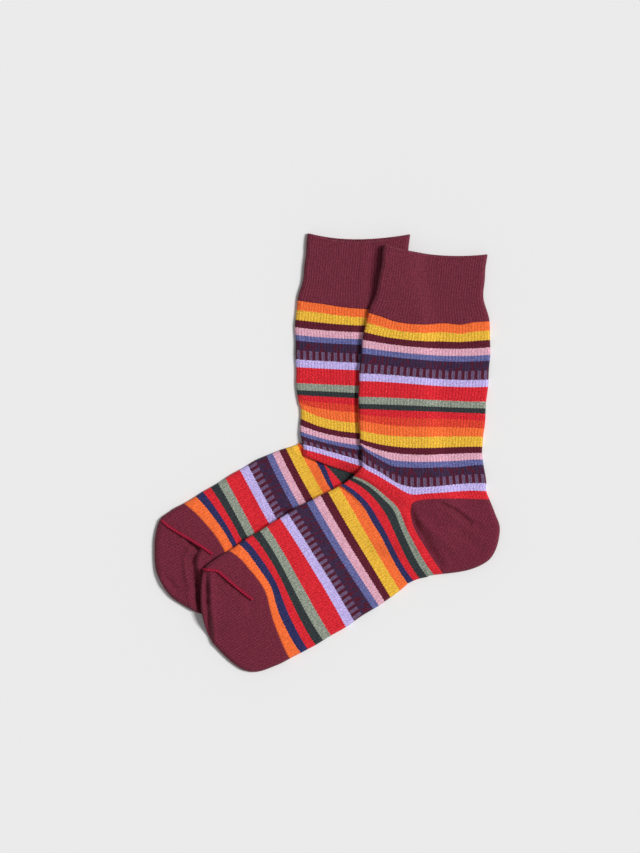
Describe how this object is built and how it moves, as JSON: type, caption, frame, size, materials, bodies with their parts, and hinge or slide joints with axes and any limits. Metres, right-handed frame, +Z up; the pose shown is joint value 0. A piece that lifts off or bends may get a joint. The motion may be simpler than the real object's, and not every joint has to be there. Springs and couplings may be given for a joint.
{
  "type": "pair of crew socks",
  "caption": "Striped knit crew socks with ribbed cuffs and plain heel and toe pockets, laid flat on their sides, one partly over the other.",
  "frame": {"origin": "under the middle of the pair, on the surface that it lies on", "axes": "+Z up from the surface, +Y towards the cuffs, +X from the toes' side towards the heels' side"},
  "size_m": [0.259, 0.3286, 0.0143],
  "materials": {
    "rib_knit": "matte rib knit",
    "striped_knit": "matte plain knit in many coloured stripes",
    "pocket_knit": "matte plain knit",
    "seam_thread": "matte thread"
  },
  "bodies": {
    "root": {"under_cuff": "rib_knit", "under_leg_and_foot": "striped_knit", "under_heel": "pocket_knit", "under_toe": "pocket_knit", "under_toe_seam": "seam_thread", "over_cuff": "rib_knit", "over_leg_and_foot": "striped_knit", "over_heel": "pocket_knit", "over_toe": "pocket_knit", "over_toe_seam": "seam_thread"}
  },
  "joints": []
}
